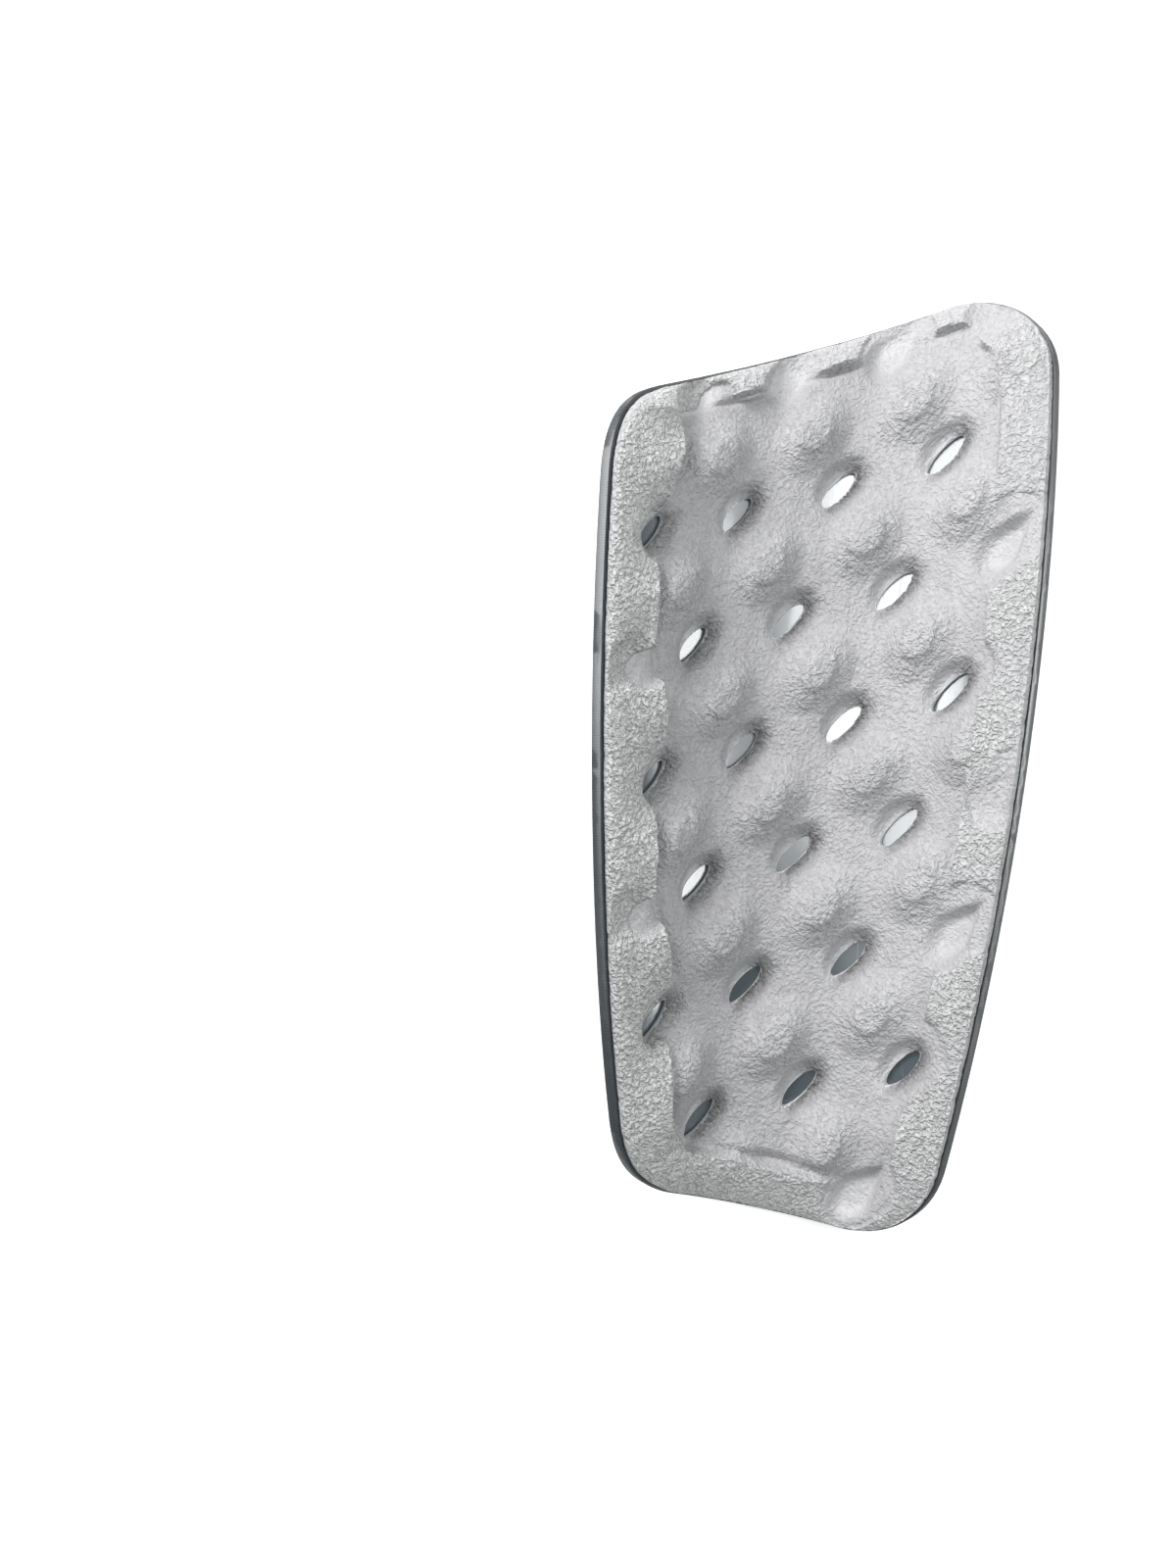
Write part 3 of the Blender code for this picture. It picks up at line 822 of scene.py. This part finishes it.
def new_group(name, inputs, outputs):
    """An empty shader node group with named number or vector inputs and outputs."""
    group = bpy.data.node_groups.new(name, "ShaderNodeTree")
    for label, kind, value in inputs:
        made = group.interface.new_socket(label, in_out="INPUT", socket_type=kind)
        if value is not None:
            made.default_value = value
    for label, kind in outputs:
        group.interface.new_socket(label, in_out="OUTPUT", socket_type=kind)
    return group, group.nodes.new("NodeGroupInput"), group.nodes.new("NodeGroupOutput")


def add_node(tree, kind, values=(), **settings):
    """A node with its settings, its unlinked sockets set and its linked sockets joined."""
    node = tree.nodes.new(kind)
    for key, value in settings.items():
        setattr(node, key, value)
    for key, value in dict(values).items():
        if isinstance(value, bpy.types.NodeSocket):
            tree.links.new(value, node.inputs[key])
        else:
            node.inputs[key].default_value = value
    return node


def add_math(tree, operation, *values):
    """The result of a sum on numbers."""
    return add_node(tree, "ShaderNodeMath", dict(enumerate(values)), operation=operation).outputs[0]


def add_vector_math(tree, operation, values):
    """The result of a sum on vectors or colours."""
    return add_node(tree, "ShaderNodeVectorMath", values, operation=operation).outputs[0]


def map_range(tree, value, before, after, kind="LINEAR"):
    """A number moved from one range into another, which it doesn't leave."""
    values = dict(zip(("From Min", "From Max", "To Min", "To Max"), (*before, *after)))
    values["Value"] = value
    return add_node(tree, "ShaderNodeMapRange", values, interpolation_type=kind).outputs[0]


def mix_colours(tree, part, first, second):
    """A mix of two colours, more of the second as part grows."""
    values = {"Factor": part, "A": first, "B": second}
    return add_node(tree, "ShaderNodeMix", values, data_type="RGBA").outputs["Result"]


def stored(tree, name, output="Fac"):
    """A value that add_values stored for each point of the mesh."""
    return add_node(tree, "ShaderNodeAttribute", attribute_name=name).outputs[output]


def add_group(tree, name, values):
    """One of the shared effects, with its inputs."""
    return add_node(tree, "ShaderNodeGroup", values, node_tree=bpy.data.node_groups[name])


def pebble_group():
    """Pebbled skin of moulded foam: rounded cells crossed by wrinkles, with scattered raised specks."""
    group, given, result = new_group(
        "Pebbled skin",
        [
            ("Position", "NodeSocketVector", None),
            ("Cell Size", "NodeSocketFloat", 0.001),
            ("Speck Size", "NodeSocketFloat", 0.004),
        ],
        [("Height", "NodeSocketFloat"), ("Specks", "NodeSocketFloat")],
    )
    position = given.outputs["Position"]
    rate = add_math(group, "DIVIDE", 1.0, given.outputs["Cell Size"])
    warp = add_node(group, "ShaderNodeTexNoise", {"Vector": position, "Scale": WARP_RATE, "Detail": 2.0})
    shift = add_vector_math(group, "MULTIPLY", {0: warp.outputs["Color"], 1: (WARP_DEPTH,) * 3})
    moved = add_vector_math(group, "ADD", {0: position, 1: shift})
    cells = add_node(
        group,
        "ShaderNodeTexVoronoi",
        {"Vector": moved, "Scale": rate, "Smoothness": 0.25, "Randomness": 1.0},
        feature="SMOOTH_F1",
    )
    rounded = add_math(group, "MULTIPLY_ADD", cells.outputs["Distance"], -PEBBLE_HEIGHT, PEBBLE_HEIGHT)
    waves = add_node(
        group, "ShaderNodeTexNoise", {"Vector": moved, "Scale": rate, "Detail": 1.5, "Roughness": 0.5}
    )
    off_line = add_math(group, "ABSOLUTE", add_math(group, "SUBTRACT", waves.outputs[0], 0.5))
    wrinkles = map_range(group, off_line, (0.0, WRINKLE_WIDTH), (WRINKLE_HEIGHT, 0.0), "SMOOTHSTEP")
    group.links.new(add_math(group, "ADD", rounded, wrinkles), result.inputs["Height"])
    speck_rate = add_math(group, "DIVIDE", 1.0, given.outputs["Speck Size"])
    specks = add_node(group, "ShaderNodeTexVoronoi", {"Vector": position, "Scale": speck_rate})
    bump = map_range(group, specks.outputs["Distance"], SPECK_RADII, (1, 0), "SMOOTHSTEP")
    rare = add_node(group, "ShaderNodeSeparateColor", {"Color": specks.outputs["Color"]})
    chosen = add_math(group, "GREATER_THAN", rare.outputs[0], SPECKS_LEFT_OUT)
    group.links.new(add_math(group, "MULTIPLY", bump, chosen), result.inputs["Specks"])


def handling_group():
    """Marks of handling: soft cloudy smudges and a few fine scratches."""
    group, given, result = new_group(
        "Handling marks",
        [
            ("Position", "NodeSocketVector", None),
            ("Cloud Size", "NodeSocketFloat", 0.02),
            ("Scratch Size", "NodeSocketFloat", 0.01),
        ],
        [("Clouds", "NodeSocketFloat"), ("Scratches", "NodeSocketFloat")],
    )
    position = given.outputs["Position"]
    cloud_rate = add_math(group, "DIVIDE", 1.0, given.outputs["Cloud Size"])
    clouds = add_node(
        group,
        "ShaderNodeTexNoise",
        {"Vector": position, "Scale": cloud_rate, "Detail": 3.0, "Roughness": 0.55},
    )
    group.links.new(clouds.outputs[0], result.inputs["Clouds"])
    scratch_rate = add_math(group, "DIVIDE", 1.0, given.outputs["Scratch Size"])
    stretched = add_vector_math(group, "MULTIPLY", {0: position, 1: SCRATCH_STRETCH})
    lines = add_node(
        group,
        "ShaderNodeTexNoise",
        {"Vector": stretched, "Scale": scratch_rate, "Detail": 2.0, "Distortion": 0.6},
    )
    thin = map_range(group, lines.outputs[0], SCRATCH_LEVELS, (0, 1))
    group.links.new(thin, result.inputs["Scratches"])


def new_material(name):
    """A material with its node tree and its main shader."""
    made = bpy.data.materials.new(name)
    made.use_nodes = True
    return made, made.node_tree, made.node_tree.nodes["Principled BSDF"]


def foam_material(look):
    """Matt near-white foam: pebbled on the rim, smoother inside it, paler where it is cut, with painted shade
    in the grooves of its skin, beside the slots and over the foam inside the rim."""
    made, tree, shader = new_material("foam_skin")
    position = add_node(tree, "ShaderNodeTexCoord").outputs["Object"]
    skin, halo, wear = [stored(tree, name) for name in ("skin", "halo", "wear")]
    pebbles = add_group(
        tree, "Pebbled skin", {"Position": position, "Cell Size": look.grain_size, "Speck Size": SPECK_SIZE}
    )
    marks = add_group(tree, "Handling marks", {"Position": position, "Cloud Size": 0.022})
    moulded = mix_colours(tree, skin, (*look.foam_pit, 1), (*look.foam, 1))
    has_skin = map_range(tree, skin, (0.05, 0.30), (0.0, 1.0))
    colour = mix_colours(tree, has_skin, (*look.foam_cut, 1), moulded)
    shade = map_range(tree, marks.outputs["Clouds"], (0.3, 0.7), (0.95, 1.03))
    grain = add_math(tree, "MULTIPLY", pebbles.outputs["Height"], skin)
    # Painted shade: the skin's grooves drawn darker and its pebbles lighter, following the heights of the
    # bump
    groove_shaded = add_math(tree, "MULTIPLY_ADD", grain, look.painted_groove_shade, shade)
    # Painted shade over the foam inside the rim, lighter along the long side
    field_shaded = add_math(tree, "MULTIPLY_ADD", wear, -look.field_shade, groove_shaded)
    # Painted shade beside the slots, darkest at a slot's upper end and lower side
    slot_shaded = add_math(tree, "MULTIPLY_ADD", halo, -look.painted_slot_shade, field_shaded)
    # Takes the mean of the painted groove shade back out
    lowered = add_math(tree, "SUBTRACT", slot_shaded, look.painted_groove_shade * MEAN_GRAIN)
    tinted = add_vector_math(tree, "SCALE", {0: colour, "Scale": lowered})
    tree.links.new(tinted, shader.inputs["Base Color"])
    height = add_math(tree, "MULTIPLY_ADD", pebbles.outputs["Specks"], SPECK_HEIGHT, grain)
    for part in ("cap", "rim"):
        step = map_range(
            tree,
            stored(tree, part + "_border"),
            (-look.crease_width / 2, look.crease_width / 2),
            (look.crease_depth / look.grain_depth * 2, 0.0),
            "SMOOTHSTEP",
        )
        height = add_math(tree, "MULTIPLY_ADD", step, stored(tree, part + "_rise"), height)
    bump = add_node(
        tree, "ShaderNodeBump", {"Height": height, "Distance": look.grain_depth, "Strength": 1.0}
    )
    tree.links.new(bump.outputs[0], shader.inputs["Normal"])
    tree.links.new(map_range(tree, skin, (0.0, 1.0), (0.52, 0.66)), shader.inputs["Roughness"])
    shader.inputs["Specular IOR Level"].default_value = 0.22
    shader.inputs["Sheen Weight"].default_value = 0.10
    shader.inputs["Sheen Roughness"].default_value = 0.5
    return made


def shell_material(look):
    """Glossy dark slate plastic, with a fine dotted grid on the inner face and a darker, duller cut edge."""
    made, tree, shader = new_material("shell_gloss")
    position = add_node(tree, "ShaderNodeTexCoord").outputs["Object"]
    inner, cut_edge = stored(tree, "inner"), stored(tree, "cut_edge")
    marks = add_group(
        tree, "Handling marks", {"Position": position, "Cloud Size": 0.035, "Scratch Size": 0.02}
    )
    flat = add_node(tree, "ShaderNodeSeparateXYZ", {0: stored(tree, "flat", "Vector")})
    rate = 2 * math.pi / look.weave_pitch
    wave_u, wave_v = [
        add_math(tree, "SINE", add_math(tree, "MULTIPLY", flat.outputs[i], rate)) for i in (0, 1)
    ]
    dots = add_math(tree, "MULTIPLY", add_math(tree, "MULTIPLY", wave_u, wave_v), inner)
    shade = map_range(tree, dots, (-1.0, 1.0), (0.75, 1.25))
    darker = add_math(tree, "MULTIPLY_ADD", cut_edge, -EDGE_SHADE, shade)
    tinted = add_vector_math(tree, "SCALE", {0: look.shell, "Scale": darker})
    tree.links.new(tinted, shader.inputs["Base Color"])
    bump = add_node(tree, "ShaderNodeBump", {"Height": dots, "Distance": GRID_DEPTH, "Strength": 0.3})
    tree.links.new(bump.outputs[0], shader.inputs["Normal"])
    smudge = map_range(tree, marks.outputs["Clouds"], (0.35, 0.75), (0.16, 0.30))
    rough = add_math(tree, "MULTIPLY_ADD", marks.outputs["Scratches"], SCRATCH_ROUGHNESS, smudge)
    rough = add_math(tree, "MULTIPLY_ADD", cut_edge, EDGE_ROUGHNESS, rough)
    tree.links.new(rough, shader.inputs["Roughness"])
    coat = add_math(tree, "MULTIPLY_ADD", cut_edge, -SHELL_COAT, SHELL_COAT)
    tree.links.new(coat, shader.inputs["Coat Weight"])
    shader.inputs["Coat Roughness"].default_value = 0.08
    return made


def stage_material(tint_value):
    """White paper, overexposed for the camera alone, so that it throws no extra light on the guard."""
    made, tree, shader = new_material("stage_paper")
    shader.inputs["Base Color"].default_value = (*tint_value, 1)
    shader.inputs["Roughness"].default_value = 0.9
    shader.inputs["Specular IOR Level"].default_value = 0.1
    seen = add_node(tree, "ShaderNodeLightPath").outputs["Is Camera Ray"]
    glow = mix_colours(tree, seen, (*STAGE_BOUNCE, 1), (*STAGE_GLOW, 1))
    tree.links.new(glow, shader.inputs["Emission Color"])
    shader.inputs["Emission Strength"].default_value = 1.0
    return made


def dress(piece, material, smooth_angle):
    """Gives a piece its material and shades its blunt edges smooth."""
    piece.data.materials.clear()
    piece.data.materials.append(material)
    piece.data.shade_smooth()
    piece.data.set_sharp_from_angle(angle=smooth_angle)


class GUARD_OT_shell(bpy.types.Operator):
    """Build the thin glossy shell"""

    bl_idname = "guard.shell"
    bl_label = "Build Shell"

    def execute(self, context):
        scene = context.scene
        shape, section = scene.guard_outline, scene.guard_section
        net = flat_net(shape, section, 0.0, SHELL_CELL, 0.0)
        slab = flat_slab("shell_body", net, section.shell_wall)
        rounding = slab.modifiers.new("Rounded edge", "BEVEL")
        rounding.width = section.shell_round
        rounding.segments = SHELL_ROUND_STEPS
        rounding.limit_method = "ANGLE"
        rounding.angle_limit = SHELL_EDGE_ANGLE
        shell = settle(slab)
        u, v, w = bend(shell, 0.0, shape, section)
        add_values(shell.data, "flat", np.stack([u, v, w], axis=1))
        add_values(shell.data, "inner", (w > section.shell_wall - FACE_MARGIN).astype(float))
        inside = edge_distance(u, v, closed_outline(shape, 0.0))
        add_values(shell.data, "cut_edge", (inside < 2 * section.shell_round).astype(float))
        dress(shell, shell_material(scene.guard_look), SHELL_SMOOTH_ANGLE)
        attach(shell, "root")
        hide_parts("shell")
        return {"FINISHED"}


class GUARD_OT_pad(bpy.types.Operator):
    """Build the embossed foam pad with its slots and the hollows in its rim"""

    bl_idname = "guard.pad"
    bl_label = "Build Foam Pad"

    def execute(self, context):
        scene = context.scene
        shape, section, relief = scene.guard_outline, scene.guard_section, scene.guard_relief
        net = flat_net(shape, section, section.pad_inset, PAD_CELL, relief.ragged_cut)
        net[..., 0] += section.pad_shift * np.clip(net[..., 0] / section.ridge_flat, -1, 1) ** 2
        slab = settle(flat_slab("foam_pad_body", net, relief.dome_height))
        places = get_places(slab.data)
        top = places[:, 2] > relief.dome_height / 2
        u, v = places[top, 0].astype(float), places[top, 1].astype(float)
        height, known = pad_relief(u, v, shape, section, relief)
        slow = [
            noise.fractal(
                Vector((a * UNEVEN_RATE, b * UNEVEN_RATE, UNEVEN_SEED)),
                *UNEVEN_DETAIL,
                noise_basis="PERLIN_ORIGINAL",
            )
            for a, b in zip(u, v)
        ]
        height += relief.unevenness * np.array(slow) * np.clip(height / relief.rim_height, 0, 1)
        places[top, 2] = height
        set_places(slab.data, places)
        for name, values in known.items():
            everywhere = np.full(len(places), BACK_VALUES[name])
            everywhere[top] = values
            add_values(slab.data, name, everywhere)

        points = grid_points(shape, relief)
        high = relief.dome_height + CUT_MARGIN
        slots = [lens_loop(at, relief) for at, depth in points if depth > relief.slot_to_edge]
        pad = cut(slab, prisms("slots", slots, -CUT_MARGIN, high))
        bend(pad, section.shell_wall + section.bond_gap, shape, section)
        dress(pad, foam_material(scene.guard_look), PAD_SMOOTH_ANGLE)
        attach(pad, "root")
        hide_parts("foam_pad")
        return {"FINISHED"}


def area_light(name, power):
    """One of the stage's lights."""
    place, aim, (width, height), colour, lights_matt = LIGHTS[name]
    data = bpy.data.lights.new(name, "AREA")
    data.shape = "RECTANGLE"
    data.size = width
    data.size_y = height
    data.energy = power
    data.color = colour
    lamp = bpy.data.objects.new(name, data)
    lamp.location = place
    lamp.rotation_euler = (Vector(aim) - Vector(place)).to_track_quat("-Z", "Y").to_euler()
    lamp.visible_diffuse = lights_matt
    bpy.context.scene.collection.objects.link(lamp)


class GUARD_OT_stage(bpy.types.Operator):
    """Build the pale floor, the soft lights and the camera"""

    bl_idname = "guard.stage"
    bl_label = "Build Stage"

    def execute(self, context):
        scene = context.scene
        stage = scene.guard_stage
        world = bpy.data.worlds.new("soft_room")
        world.use_nodes = True
        backdrop = world.node_tree.nodes["Background"]
        backdrop.inputs["Color"].default_value = (*ROOM_TINT, 1)
        backdrop.inputs["Strength"].default_value = stage.fill
        scene.world = world
        scene.view_settings.view_transform = "Standard"

        bpy.ops.mesh.primitive_plane_add(size=FLOOR_SIZE, location=(0, 0, 0))
        floor = context.object
        floor.name = "floor"
        floor.data.materials.append(stage_material(stage.floor_tint))

        area_light("window_left", stage.key)
        area_light("window_right", stage.key * SECOND_WINDOW)
        area_light("ceiling", stage.ceiling)
        area_light("wall", stage.wall)

        ridge = frame_shift(scene.guard_outline, scene.guard_section)
        data = bpy.data.cameras.new("camera")
        data.lens = stage.lens
        data.sensor_width = SENSOR_WIDTH
        data.clip_start = CLIP_START
        camera = bpy.data.objects.new("camera", data)
        camera.location = (ridge.x + stage.camera_u, stage.camera_y, stage.camera_height)
        camera.rotation_euler = (0, 0, stage.lean)
        scene.collection.objects.link(camera)
        scene.camera = camera
        return {"FINISHED"}


class GUARD_PT_panel(bpy.types.Panel):
    """Sizes, colours and build buttons of the shin guard"""

    bl_idname = "GUARD_PT_panel"
    bl_label = "Shin Guard"
    bl_space_type = "VIEW_3D"
    bl_region_type = "UI"
    bl_category = "Shin Guard"

    def draw(self, context):
        for operator in OPERATORS:
            self.layout.operator(operator.bl_idname)
        for name, group in SETTINGS.items():
            box = self.layout.box()
            box.label(text=group.__doc__)
            for key in group.__annotations__:
                box.prop(getattr(context.scene, name), key)


SETTINGS = {
    "guard_outline": GuardOutline,
    "guard_section": GuardSection,
    "guard_relief": PadRelief,
    "guard_look": GuardLook,
    "guard_stage": StageSettings,
}
OPERATORS = (GUARD_OT_shell, GUARD_OT_pad, GUARD_OT_stage)


def register():
    for made in (*SETTINGS.values(), *OPERATORS, GUARD_PT_panel):
        bpy.utils.register_class(made)
    for name, group in SETTINGS.items():
        setattr(bpy.types.Scene, name, PointerProperty(type=group))


def unregister():
    for name in SETTINGS:
        delattr(bpy.types.Scene, name)
    for made in (GUARD_PT_panel, *reversed(OPERATORS), *reversed(SETTINGS.values())):
        bpy.utils.unregister_class(made)


def main():
    register()
    pebble_group()
    handling_group()
    bpy.ops.guard.shell()
    bpy.ops.guard.pad()
    bpy.ops.guard.stage()


if __name__ == "__main__":
    main()
